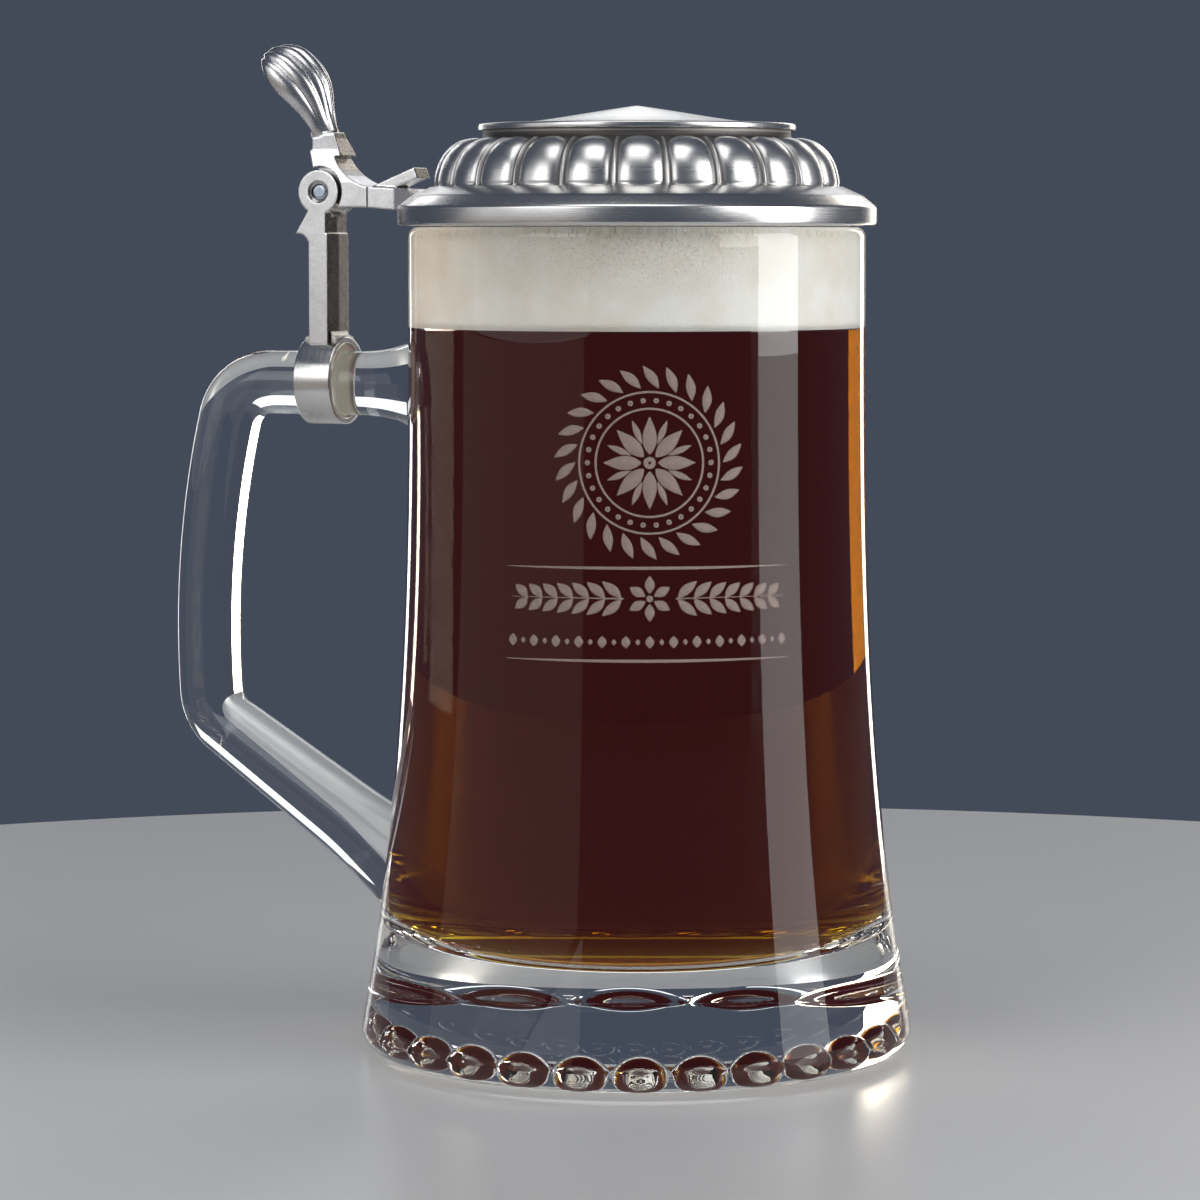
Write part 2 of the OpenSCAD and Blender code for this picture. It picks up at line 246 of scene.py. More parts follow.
def filleted(corners, steps=4):
    # a line through (x, y, radius) corners, each rounded by an arc of that radius that touches both sides
    corners = np.asarray(corners, float)
    line = [corners[0][None, :2]]
    for before, corner, after in zip(corners[:-2], corners[1:-1], corners[2:]):
        middle = corner[:2]
        toBefore = (before[:2] - middle) / np.linalg.norm(before[:2] - middle)
        toAfter = (after[:2] - middle) / np.linalg.norm(after[:2] - middle)
        half = math.acos(np.clip(toBefore @ toAfter, -1, 1)) / 2
        reach = corner[2] / math.tan(half)
        t = np.linspace(0, 1, steps + 1)[:, None]
        a, b = middle + toBefore * reach, middle + toAfter * reach
        line.append((1 - t) ** 2 * a + 2 * (1 - t) * t * middle + t ** 2 * b)
    line.append(corners[-1][None, :2])
    return np.concatenate(line)


def smoothStep(low, high, value):
    t = np.clip((value - low) / (high - low), 0, 1)
    return t * t * (3 - 2 * t)


def softened(name, node, voxel, rounds):
    # a copy of a CAD piece with its corners eased: remeshed in small cubes, then smoothed a few rounds
    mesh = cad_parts[node].data.copy()
    mesh.name = name
    mesh.materials.clear()
    tidyMesh(mesh)
    return eased(addObject(name, mesh), voxel, rounds)


def eased(piece, voxel, rounds):
    remesh = piece.modifiers.new("cubes", "REMESH")
    remesh.mode = "VOXEL"
    remesh.voxel_size = voxel * mm
    smooth = piece.modifiers.new("ease", "SMOOTH")
    smooth.iterations = rounds
    smooth.factor = 0.5
    return settle(piece)


def boxOf(node):
    low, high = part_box(node)
    return np.array(low) / mm, np.array(high) / mm


# the frame's own places, in millimetres

pinLow, pinHigh = boxOf("hinge_pin")
pinX = (pinLow[0] + pinHigh[0]) / 2
pinZ = (pinLow[2] + pinHigh[2]) / 2
ringLow, ringHigh = boxOf("handle_ring")
ringZ = (ringLow[2] + ringHigh[2]) / 2
barZ = ringZ - 0.5        # the ring sits a little high on the bar
lidLow, lidHigh = boxOf("lid")
mugLow, mugHigh = boxOf("glass_mug")
glassHeight = mugHigh[2]
gripX = mugLow[0]         # the handle's outermost point


# finishes

glassLook = {
    "tint": (0.975, 0.99, 0.985),
    "bend": 1.5,          # index of refraction
    "beerBend": 1.34,
    "shade": (0.86, 0.89, 0.89),
}


def clearGlass(name, bend, tint, shade):
    # clear glass that lets the lamps' light through, a little shaded
    finish = Finish(name, {"Base Color": tint, "Roughness": 0.0, "IOR": bend, "Transmission Weight": 1.0})
    lamp = finish.node("LightPath", {}, {}, "Is Shadow Ray")
    solid = Wire(finish.tree, finish.shader.outputs[0])
    clear = finish.node("BsdfTransparent", {}, {"Color": shade})
    mixed = finish.node("MixShader", {}, {0: lamp, 1: solid, 2: clear})
    finish.tree.links.new(mixed.socket, finish.output.inputs["Surface"])
    return finish


def turnedMetal(name, look, axis, centre):
    # metal turned on a lathe: fine rings of scratches round the axis, and painted shade, darker and
    # rougher, where the mesh's shade attribute is high
    finish = Finish(name, {"Metallic": 1.0, "Anisotropic": look["pull"]})
    parts = finish.axes(finish.place())
    along = parts.pop(axis) - centre[axis]
    others = [i for i in range(3) if i != axis]
    first, second = [part - centre[i] for part, i in zip(parts, others)]
    reach = (first * first + second * second) ** 0.5
    ringPlace = finish.node("CombineXYZ", {}, {0: reach, 1: along, 2: 0.0})
    fine = finish.noise(ringPlace, look["fine"], 4)
    broad = finish.noise(ringPlace, look["broad"], 2)
    patches = finish.noise(finish.place(), look["patches"], 3)
    # painted shade: a mask on the mesh, high in the lid's grooves and under its plate, that darkens and
    # roughens the metal
    dark = finish.node("Attribute", {"attribute_name": "hollow"}, {}, "Fac")
    # each noise lies round 0.5, so it makes the metal a little rougher here and smoother there
    rough = look["rough"] + (fine - 0.5) * 0.16 + (broad - 0.5) * 0.12
    rough = rough + (patches - 0.5) * 0.14 + dark * 0.25
    shaded = finish.blend(dark * 0.85, look["colour"], look["stainAndShade"])
    toned = finish.blend(finish.spread(patches, 0.35, 0.75, 0, 0.22), shaded, look["stainAndShade"])
    finish.feed("Base Color", toned)
    finish.feed("Roughness", rough)
    finish.bump(fine * 0.7 + broad * 0.3, look["bump"], 0.03)
    return finish


def castMetal(name, look):
    # satin cast metal: fine grain, faint stains, and painted dark-brown shade on the side towards the mug
    # where the look gives a colour for it
    finish = Finish(name, {"Metallic": 1.0})
    at = finish.place()
    grain = finish.noise(at, look["grain"], 4, 0.7)
    patches = finish.noise(at, look["patches"], 3)
    stained = finish.spread(patches, 0.4, 0.8, 0, 0.5)
    base = finish.blend(stained, look["colour"], look["stainAndShade"])
    if "mugSideShade" in look:
        # painted shade: the faces that look towards the mug are painted dark brown, up to the foot of the
        # shell
        facing = finish.axes(finish.node("TexCoord", {}, {}, "Normal"))[0]
        height = finish.axes(at)[2]
        low = finish.spread(height, pinZ + look["mugSideShadeFull"], pinZ + look["mugSideShadeGone"], 1, 0)
        brown = finish.spread(facing + (grain - 0.5) * 0.3, 0.55, 0.75) * low * 0.9
        base = finish.blend(brown, base, look["mugSideShade"])
    finish.feed("Base Color", base)
    finish.feed("Roughness", look["rough"] + (grain - 0.5) * 0.25 + (patches - 0.5) * 0.15)
    finish.bump(grain, look["bump"], 0.05)
    return finish


pewterLook = {
    "colour": (0.80, 0.79, 0.77),
    # the stain colour serves the random patches and the painted shadow under the lid's plate
    "stainAndShade": (0.22, 0.20, 0.18),
    "rough": 0.24,
    "pull": 0.55,         # how far highlights stretch across the brushing
    "fine": 6.0,          # scratches per millimetre, roughly
    "broad": 1.2,
    "patches": 0.12,
    "bump": 0.35,
}
lobeLook = {
    "colour": (0.82, 0.81, 0.79),
    # the stain colour serves the random patches and the painted shade in the grooves
    "stainAndShade": (0.07, 0.06, 0.055),
    "rough": 0.31,
    "pull": 0.0,
    "fine": 3.0,
    "broad": 0.9,
    "patches": 0.15,
    "bump": 0.12,
}
castLook = {
    "colour": (0.78, 0.77, 0.77),
    "stainAndShade": (0.45, 0.43, 0.41),
    # painted shade on the faces that look towards the mug
    "mugSideShade": (0.085, 0.062, 0.045),
    "mugSideShadeFull": 11,    # height over the pin up to which the painted shade is full, and where it is gone
    "mugSideShadeGone": 14,
    "rough": 0.27,
    "grain": 5.0,
    "patches": 0.35,
    "bump": 0.25,
}
solderLook = {
    "colour": (0.62, 0.60, 0.57),
    "stainAndShade": (0.30, 0.28, 0.25),
    "rough": 0.42,
    "grain": 3.0,
    "patches": 0.8,
    "bump": 0.9,
}
pinLook = {
    "colour": (0.50, 0.57, 0.64),
    "stainAndShade": (0.22, 0.24, 0.28),
    "rough": 0.22,
    "grain": 4.0,
    "patches": 0.7,
    "bump": 0.15,
}

mugGlass = clearGlass("mugGlass", glassLook["bend"], glassLook["tint"], glassLook["shade"])
# where beer wets the wall the light bends by the ratio of the two, so the beer's own skin adds no bend
wetGlass = clearGlass("wetGlass", glassLook["bend"] / glassLook["beerBend"], glassLook["tint"], (1, 1, 1))
lidPewter = turnedMetal("lidPewter", pewterLook, 2, (0, 0, 0))
ringPewter = turnedMetal("ringPewter", pewterLook, 0, (pinX, 0, ringZ))
lobePewter = turnedMetal("lobePewter", lobeLook, 2, (0, 0, 0))
satinCast = castMetal("satinCast", castLook)
grainySolder = castMetal("grainySolder", solderLook)
bluedPin = castMetal("bluedPin", pinLook)
print("finishes made")


# glass

glass = {
    "rim": lidHigh[0] - 2,    # outer radius at the rim; the lid stands out 2 past it
    "flare": 10.2,            # how far the side spreads down to the table
    "flarePower": 3.1,
    "wall": 3.7,
    "floor": 19.0,            # thickness of the floor at its centre
    "bowl": 10.0,             # radius where the floor turns up
    "corner": 4.5,            # radius of the outside corner at the foot
    "footRing": 3.0,
    "hub": 0.5,           # radius of the small round that closes the floor and the base
    "kick": 2.5,              # height of the hollow under the base
    "kickRun": 12.0,
    "scallops": 24,
    "scallopBall": 6.5,
    "scallopSink": 1.5,
    "columns": 384,       # points round the body
    "rod": 12.4,              # diameter of the handle's rod
    "bend": 9.0,              # radius of the rod's middle line at the two corners
    "bow": 180.0,             # the same for the bowed grip
    "leanTop": 13.5,          # degrees that the grip leans at its top and its low end
    "leanLow": 3.8,
    "lowSlope": 33.5,         # degrees that the low bar climbs on its way out from the glass
    "lowSwell": 1.5,          # growth of the rod's radius along the low bar
    "rootLength": 15.0,
    "rootSpread": 3.6,        # growth of the rod's radius at the top root
    "lowRootShare": 0.4,      # the low root spreads by this share of it
    "rootPower": 2.4,
    "barPoints": 46,          # points along each straight bar
    "rodSides": 56,
}


def sideRadius(z):
    # the rim's radius plus the flare times (1 - share of the height) to a power
    return glass["rim"] + glass["flare"] * (1 - z / glassHeight) ** glass["flarePower"]


def glassBody():
    # a closed outline turned round Z: kick, foot ring, side, rim, inner wall, bowl and floor
    g = glass
    inner = g["rim"] - g["wall"]
    cornerX = sideRadius(g["corner"]) - g["corner"]
    rimX = g["rim"] - g["wall"] / 2
    rimZ = glassHeight - g["wall"] / 2
    footIn = cornerX - g["footRing"]
    kickLine = np.array([[g["hub"], g["kick"]], [footIn - g["kickRun"] * 1.3, g["kick"]]])
    slope = np.linspace(0, 1, 40)[:, None]
    kickTop = np.array([[footIn - g["kickRun"], g["kick"]]])
    kickSlope = kickTop * (1 - slope) + np.array([[footIn, 0]]) * slope
    heights = g["corner"] + (rimZ - g["corner"]) * np.linspace(0, 1, 52)[1:-1]
    side = np.stack([sideRadius(heights), heights], axis=-1)
    innerHeights = np.linspace(rimZ, g["floor"] + g["bowl"], 30)[1:-1]
    outline = np.concatenate([
        kickLine, kickSlope,
        arcLine((cornerX, g["corner"]), g["corner"], -90, 0, 12),
        side,
        arcLine((rimX, rimZ), g["wall"] / 2, 0, 180, 17),
        np.stack([0 * innerHeights + inner, innerHeights], axis=-1),
        arcLine((inner - g["bowl"], g["floor"] + g["bowl"]), g["bowl"], 0, -90, 14),
        [[g["hub"], g["floor"]]],
    ])
    angles = evenAngles(g["columns"])
    points = turned(outline, angles)
    # under the base a ring of balls cuts round scallops: the surface rises to the ball where that is higher
    ringR = cornerX - g["footRing"] - g["scallopBall"] + 0.5
    pitch = 2 * math.pi / g["scallops"]
    near = (angles % pitch) - pitch / 2
    base = slice(0, len(kickLine) + len(kickSlope))
    radius = outline[base, 0][:, None]
    away = radius ** 2 + ringR ** 2 - 2 * radius * ringR * np.cos(near)[None, :]
    ball = np.sqrt(np.maximum(g["scallopBall"] ** 2 - away, 0)) - g["scallopSink"]
    points[base, :, 2] = np.maximum(points[base, :, 2], ball)
    # a fan of triangles closes each hub
    rows, cols = points.shape[:2]
    count = rows * cols
    last = count - cols
    centres = np.array([[0, 0, g["kick"]], [0, 0, g["floor"]]])
    col = np.arange(cols)
    lowFan = np.stack([col, (col + 1) % cols, 0 * col + count], axis=-1)
    highFan = np.stack([last + (col + 1) % cols, last + col, 0 * col + count + 1], axis=-1)
    faces = gridFaces(rows, cols, wrapCols=True).tolist() + lowFan.tolist() + highFan.tolist()
    mesh = newMesh("body", np.concatenate([points.reshape(-1, 3), centres]), faces)
    tidyMesh(mesh)
    return addObject("body", mesh)


def handlePath():
    # in X and Z: along the top bar, round the top corner, down the bowed grip, round the low corner
    # and along the low bar to the glass
    g = glass
    bowX = gripX + g["rod"] / 2 + g["bow"]
    topTip = np.array([bowX, 0]) + (g["bow"] - g["bend"]) * unit(180 - g["leanTop"])
    lift = np.array([0, barZ - g["bend"] - topTip[1]])
    top = topTip + lift
    low = np.array([bowX, 0]) + lift + (g["bow"] - g["bend"]) * unit(180 + g["leanLow"])
    lowStart = low + g["bend"] * unit(270 - g["lowSlope"])
    inside = -(g["rim"] - g["wall"]) + 2
    drop = (lowStart[0] - inside) * math.tan(math.radians(g["lowSlope"]))
    lowEnd = np.array([inside, lowStart[1] + drop])
    share = np.linspace(0, 1, g["barPoints"])[:, None]
    topBar = np.array([[inside, barZ]]) * (1 - share) + np.array([[top[0], barZ]]) * share
    lowBar = lowStart[None] * (1 - share) + lowEnd[None] * share
    return np.concatenate([
        topBar[:-1],
        arcLine(top, g["bend"], 90, 180 - g["leanTop"], 20)[:-1],
        arcLine(np.array([bowX, 0]) + lift, g["bow"], 180 - g["leanTop"], 180 + g["leanLow"], 30)[:-1],
        arcLine(low, g["bend"], 180 + g["leanLow"], 270 - g["lowSlope"], 18)[:-1],
        lowBar,
    ])


def glassHandle():
    # a round rod along the path, which flares into the wall like a trumpet at both ends
    g = glass
    path = handlePath()
    step = np.gradient(path, axis=0)
    along = step / np.linalg.norm(step, axis=1)[:, None]
    normal = np.stack([-along[:, 1], along[:, 0]], axis=-1)
    wallX = -sideRadius(path[:, 1])
    share = np.clip(1 - (wallX - path[:, 0]) / g["rootLength"], 0, 1.25)
    # the low bar grows evenly from its corner to its root, which spreads less
    low = np.arange(len(path)) >= len(path) - g["barPoints"]
    lowX = path[-g["barPoints"], 0]
    grown = np.where(low, (path[:, 0] - lowX) / (path[-1, 0] - g["rootLength"] - lowX), 0)
    spread = g["rootSpread"] * np.where(low, g["lowRootShare"], 1)
    radius = g["rod"] / 2 + g["lowSwell"] * np.clip(grown, 0, 1) + spread * share ** g["rootPower"]
    # both ends are closed by rings that shrink almost to a point
    ends = np.array([0.75, 0.5, 0.25, 0.02])
    path = np.concatenate([path[[0]].repeat(len(ends), 0), path, path[[-1]].repeat(len(ends), 0)])
    normal = np.concatenate([normal[[0]].repeat(len(ends), 0), normal, normal[[-1]].repeat(len(ends), 0)])
    radius = np.concatenate([radius[0] * ends[::-1], radius, radius[-1] * ends])
    turn = evenAngles(g["rodSides"])
    out = radius[:, None] * np.cos(turn)
    x = path[:, 0][:, None] + normal[:, 0][:, None] * out
    z = path[:, 1][:, None] + normal[:, 1][:, None] * out
    y = radius[:, None] * np.sin(turn)
    # nothing goes deeper than the middle of the wall
    deep = (g["rim"] - g["wall"] + sideRadius(z)) / 2
    reach = np.sqrt(x ** 2 + y ** 2)
    push = np.maximum(deep / reach, 1)
    points = np.stack([x * push, y * push, z], axis=-1)
    rows, cols = points.shape[:2]
    mesh = newMesh("rod", points, cappedFaces(rows, cols))
    tidyMesh(mesh)
    return addObject("rod", mesh)


beerTop = glassHeight - 18.8      # where beer and foam meet


def makeMug():
    # body and handle joined into one solid; the faces that the beer wets get the wet glass
    body = glassBody()
    rod = glassHandle()
    join = body.modifiers.new("join", "BOOLEAN")
    join.operation = "UNION"
    join.solver = "EXACT"
    join.object = rod
    settle(body)
    bpy.data.objects.remove(rod)
    mesh = body.data
    mesh.materials.clear()
    mesh.materials.append(mugGlass.material)
    mesh.materials.append(wetGlass.material)
    centres = np.zeros(len(mesh.polygons) * 3)
    mesh.polygons.foreach_get("center", centres)
    centres = centres.reshape(-1, 3) / mm
    reach = np.hypot(centres[:, 0], centres[:, 1])
    inside = (reach < glass["rim"] - glass["wall"] + 0.05) & (centres[:, 2] > glass["floor"] - 0.5)
    wet = inside & (centres[:, 2] < beerTop)
    mesh.polygons.foreach_set("material_index", wet.astype(np.int32))
    body.name = "clear_mug"
    mesh.name = "clear_mug"
    return install(body, "mug", ["glass_mug"])


makeMug()


# beer and foam

beerLook = {
    "colour": (0.79, 0.705, 0.0),
    "density": 250.0,     # how fast the light is lost, per metre
    "paintedGlow": (0.9, 0.085, 0.075),   # painted glow: a little red light that the beer gives off itself
    "paintedGlowStrength": 0.032,
    "gap": 0.05,          # between the beer and the glass
    "sides": 192,
}


def makeBeer():
    # a turned solid just inside the wall and the bowl of the cup, flat on top
    g = glass
    gap = beerLook["gap"]
    inner = g["rim"] - g["wall"] - gap
    outline = np.concatenate([
        [[0.0, g["floor"] + gap]],
        arcLine((inner - g["bowl"] + gap, g["floor"] + g["bowl"]), g["bowl"] - gap, -90, 0, 16),
        [[inner, beerTop - 0.3], [inner - 0.3, beerTop - 0.02], [0.0, beerTop - 0.02]],
    ])
    # the beer's faint red emission is a painted glow in its dark middle
    finish = Finish("darkBeer", {"Base Color": (1, 1, 1), "Roughness": 0.0, "IOR": 1.0,
                                 "Transmission Weight": 1.0, "Emission Color": beerLook["paintedGlow"],
                                 "Emission Strength": beerLook["paintedGlowStrength"]})
    inputs = {"Color": beerLook["colour"], "Density": beerLook["density"]}
    depth = finish.node("VolumeAbsorption", {}, inputs)
    finish.tree.links.new(depth.socket, finish.output.inputs["Volume"])
    points = turned(outline, evenAngles(beerLook["sides"]))
    mesh = newMesh("beer", points, gridFaces(*points.shape[:2], wrapCols=True))
    tidyMesh(mesh)
    return install(addObject("beer", mesh, [finish]), "mug")


foam = {
    "below": 0.6,         # how far its top lies under the rim
    "edge": 1.2,          # radius of its upper edge
    "wet": 0.05,          # how deep its side lies in the glass, which it wets
    "sides": 160,
    "plain": (0.93, 0.905, 0.86),
    "shaded": (0.83, 0.77, 0.67),
    "bubble": (0.50, 0.40, 0.27),
    "bubblesAt": 21.5,    # degrees from -Y towards +X, where the coarse bubbles lie
}


def makeFoam():
    # a thick disc with a bubbly top
    inner = glass["rim"] - glass["wall"] + foam["wet"]
    top = glassHeight - foam["below"]
    edge = foam["edge"]
    heights = np.linspace(beerTop, top - edge, 12)
    radii = np.linspace(inner - edge, 0, 40)
    outline = np.concatenate([
        [[0.0, beerTop]], np.stack([0 * heights + inner, heights], axis=-1),
        arcLine((inner - edge, top - edge), edge, 0, 90, 6)[1:],
        np.stack([radii, 0 * radii + top], axis=-1)[1:],
    ])
    finish = Finish("creamFoam", {"Roughness": 0.6, "Subsurface Weight": 0.3, "Subsurface Scale": 0.002,
                                  "Subsurface Radius": (1.0, 0.8, 0.6)})
    at = finish.place()
    x, y, z = finish.axes(at)
    high = finish.spread(z, beerTop + 5, glassHeight - 1)
    # the coarse bubbles lie at the top, and fade out to both sides
    turn = math.radians(foam["bubblesAt"])
    across = x * math.cos(turn) + y * math.sin(turn)
    near = finish.spread(across.maths("ABSOLUTE", across), 8, 27, 1, 0)
    walls = [finish.cells(at, scale, "DISTANCE_TO_EDGE") for scale in (0.75, 1.9)]
    big = finish.spread(walls[0], 0.02, 0.10, 1, 0) * high * near
    small = finish.spread(walls[1], 0.02, 0.12, 1, 0) * (0.35 + high * 0.4)
    dots = finish.spread(finish.cells(at, 1.3), 0.10, 0.26, 1, 0) * high * (0.2 + near * 0.8)
    tone = finish.noise(at, 0.10, 3)
    base = finish.blend(finish.spread(tone + high * 0.25, 0.4, 0.8), foam["plain"], foam["shaded"])
    marked = finish.spread(big * 0.22 + small * 0.2 + dots * 0.9, 0, 1)
    finish.feed("Base Color", finish.blend(marked, base, foam["bubble"]))
    finish.bump(small + big + dots * 0.6, 0.5, -0.25)
    points = turned(outline, evenAngles(foam["sides"]))
    mesh = newMesh("foam", points, gridFaces(*points.shape[:2], wrapCols=True))
    tidyMesh(mesh)
    return install(addObject("foam", mesh, [finish]), "mug")


makeBeer()
makeFoam()


# engraving

emblem = {
    "azimuth": 24.6,      # degrees from -Y towards +X
    "height": 113.4,      # of the rosette's centre
    "thick": 0.05,
    "sunk": 0.02,         # how deep its back lies in the glass
    "colour": (0.66, 0.52, 0.46),
    "alpha": 0.36,
    "petals": 8,
    "beads": 30,
    "leaves": 26,         # in the wreath
    "rules": (-18.9, -35.6),
    "ruleHalf": 26.5,
    "branch": -24.4,      # height of the branch from the centre
    "twigs": 7,           # pairs of leaves on each side of the branch
    "lozenges": -32.2,
}


class Engraving:
    # flat ribbons laid on the side of the glass, each a closed sliver; u runs round the side, v up
    def __init__(self):
        self.points = []
        self.faces = []

    def ribbon(self, left, right, closed=False):
        count = len(left)
        start = len(self.points)
        front, back = emblem["thick"], -emblem["sunk"]
        rows = []
        for line, lift in [(left, front), (right, front), (right, back), (left, back)]:
            z = line[:, 1] + emblem["height"]
            radius = sideRadius(z) + lift
            turn = math.radians(emblem["azimuth"] - 90) + line[:, 0] / glass["rim"]
            rows.append(np.stack([radius * np.cos(turn), radius * np.sin(turn), z], axis=-1))
        self.points += np.concatenate(rows).tolist()
        faces = gridFaces(4, count, wrapRows=True, wrapCols=closed) + start
        self.faces += faces.tolist()
        if not closed:
            first = [start + i * count for i in range(4)]
            self.faces += [first, [i + count - 1 for i in first]]

    def ring(self, centre, inner, outer, count=120):
        turn = evenAngles(count)
        way = np.stack([np.cos(turn), np.sin(turn)], axis=-1)
        self.ribbon(centre + inner * way, centre + outer * way, closed=True)

    def leaf(self, base, angle, length, half, bend=0.0, power=1.0):
        # a pointed blade from base; bend curls its middle line sideways
        t = np.linspace(0, 1, 22)
        along, across = unit(angle), unit(angle + 90)
        middle = base + np.outer(t * length, along) + np.outer(bend * length * t * t, across)
        wide = half * np.sin(math.pi * t ** power)[:, None] + 0.03
        self.ribbon(middle + across * wide, middle - across * wide)

    def rule(self, v, half, thick):
        # a level line that tapers to both ends
        u = np.linspace(-half, half, 60)
        wide = thick * np.clip(1 - (np.abs(u) / half) ** 2, 0, 1) + 0.05
        self.ribbon(np.stack([u, v + wide], axis=-1), np.stack([u, v - wide], axis=-1))


def makeRosette(art):
    # long and short petals by turns, a ring of beads round them, and a wreath of plain leaves outside
    middle = np.zeros(2)
    pitch = 360 / emblem["petals"]
    for i in range(emblem["petals"]):
        long, short = i * pitch, (i + 0.5) * pitch
        art.leaf(1.5 * unit(long), long, 6.8, 1.25, power=0.8)
        art.leaf(3.6 * unit(short), short, 4.6, 0.55)
    art.ring(middle, 0.25, 1.1, 40)
    art.ring(middle, 9.5, 9.9)
    for i in range(emblem["beads"]):
        art.ring(11.2 * unit(i * 360 / emblem["beads"]), 0.1, 0.5, 16)
    art.ring(middle, 12.5, 12.9)
    for i in range(emblem["leaves"]):
        angle = i * 360 / emblem["leaves"]
        art.leaf(13.4 * unit(angle), angle + 35, 4.9, 0.85, 0.12)


def makeBranch(art):
    # a small flower with a stalk to each side, whose pairs of leaves get shorter outwards
    middle = np.array([0, emblem["branch"]])
    for end in (-1, 1):
        near, far = middle + [4.6 * end, 0], middle + [25.6 * end, 0]
        thick = np.array([[0, 0.16], [0, 0.05]])
        stalk = np.array([near, far])
        art.ribbon(stalk + thick, stalk - thick)
        for i in range(emblem["twigs"]):
            at = middle + [(5.0 + i * 2.9) * end, 0]
            for up in (-1, 1):
                heading = 50 * up if end > 0 else 180 - 50 * up
                art.leaf(at, heading, 4.6 - i * 0.22, 0.85, -0.14 * up * end)
    for heading in range(30, 390, 60):
        art.leaf(middle + 0.9 * unit(heading), heading, 3.2, 0.85)
    art.ring(middle, 0.1, 0.6, 30)


def makeEmblem():
    # the rosette, then the branch and a row of large and small lozenges between two rules
    art = Engraving()
    makeRosette(art)
    for height in emblem["rules"]:
        art.rule(height, emblem["ruleHalf"], 0.24)
    makeBranch(art)
    for i in range(-12, 13):
        size = 1.1 if i % 2 == 0 else 0.55
        at = np.array([i * 2.1, emblem["lozenges"]])
        art.leaf(at - [0, size], 90, 2 * size, size * 0.7)
    values = {"Base Color": emblem["colour"], "Roughness": 0.75, "Alpha": emblem["alpha"]}
    finish = Finish("frosted", values)
    mesh = newMesh("emblem", np.array(art.points), art.faces)
    tidyMesh(mesh, 1e-3)
    return install(addObject("emblem", mesh, [finish]), "mug")


makeEmblem()


# lid

lid = {
    "edge": 3.5,          # height of the upright edge
    "slopeWidth": 6.4,
    "slopeHeight": 3.7,
    "domeRun": 9.0,       # how far the dome leans in over its height
    "domeHeight": 10.1,
    "domeRows": 46,
    "lobes": 24,
    "grooveDegrees": 2.8,
    "beadDegrees": 1.0,
    "bulge": 1.0,         # how far a lobe stands out of its groove
    "beadHeight": 0.5,
    "plate": 1.2,         # thickness of the round plate on top
    "cone": 3.5,          # height of the low cone on the plate
    "metal": 1.8,         # wall thickness
    "columnsPerLobe": 24,
}


def lidOutline():
    # points (radius, height over the lid's lowest level) in five stretches: the edge and slope, the dome,
    # the plate's rim, the cone, and the hollow underneath
    outR = lidHigh[0]
    run, rise = lid["domeRun"], lid["domeHeight"]
    slopeZ = lid["edge"] + lid["slopeHeight"]
    domeR = outR - lid["slopeWidth"] - 0.4
    domeZ = slopeZ + rise
    discR = domeR - run + 0.6
    discZ = domeZ + 0.5
    top = discZ + lid["plate"]
    seat = glass["rim"] - glass["wall"] / 2
    edgeLine = filleted([
        (seat, 0.6, 0), (seat + 0.6, 0, 0.4), (outR, 0, 0.9), (outR, lid["edge"], 0.9),
        (outR - 2.6, slopeZ - 1.6, 3.0), (domeR + 0.45, slopeZ + 0.1, 0.25), (domeR + 0.1, slopeZ - 0.3, 0),
    ], 5)
    dome = bezierLine([(domeR, slopeZ), (domeR - 0.5, slopeZ + rise * 0.55),
                       (domeR - run * 0.28, slopeZ + rise * 0.86), (domeR - run, domeZ)], lid["domeRows"])
    plate = filleted([
        (discR - 0.9, domeZ, 0), (discR - 1.0, discZ, 0.1), (discR, discZ, 0.3), (discR, top, 0.45),
        (discR - 1.2, top + 0.02, 0.4), (discR - 2.0, top - 0.05, 0),
    ], 4)
    cone = bezierLine([(discR - 2.2, top - 0.05), (discR - 10, top - 0.05),
                       (discR * 0.45, top + lid["cone"] * 0.45), (0.0, top + lid["cone"])], 26)
    inDome = domeR - lid["metal"]
    roof = domeZ - lid["metal"] + 0.6
    vault = bezierLine([(inDome - run, roof), (inDome - run * 0.3, slopeZ + (roof - slopeZ) * 0.9),
                        (inDome - 0.4, slopeZ + (roof - slopeZ) * 0.5), (inDome, slopeZ)], 12)
    seatLine = [[inDome, slopeZ - lid["metal"]], [seat - 0.5, 1.4], [seat, 1.0]]
    return edgeLine, dome, plate, cone, np.concatenate([[[0.0, roof]], vault, seatLine])


def lobeColumns():
    # every column's angle, and its place in its lobe in degrees; they crowd towards the grooves
    half = lid["columnsPerLobe"] // 2
    share = 1 - (1 - np.arange(half + 1) / half) ** 1.7
    pitch = 360 / lid["lobes"]
    local = np.concatenate([-pitch / 2 * share[::-1], pitch / 2 * share[1:-1]])
    offsets = np.arange(lid["lobes"]) * pitch + pitch / 2
    angles = np.radians((offsets[:, None] + local[None, :]).reshape(-1))
    return angles, np.tile(local, lid["lobes"])


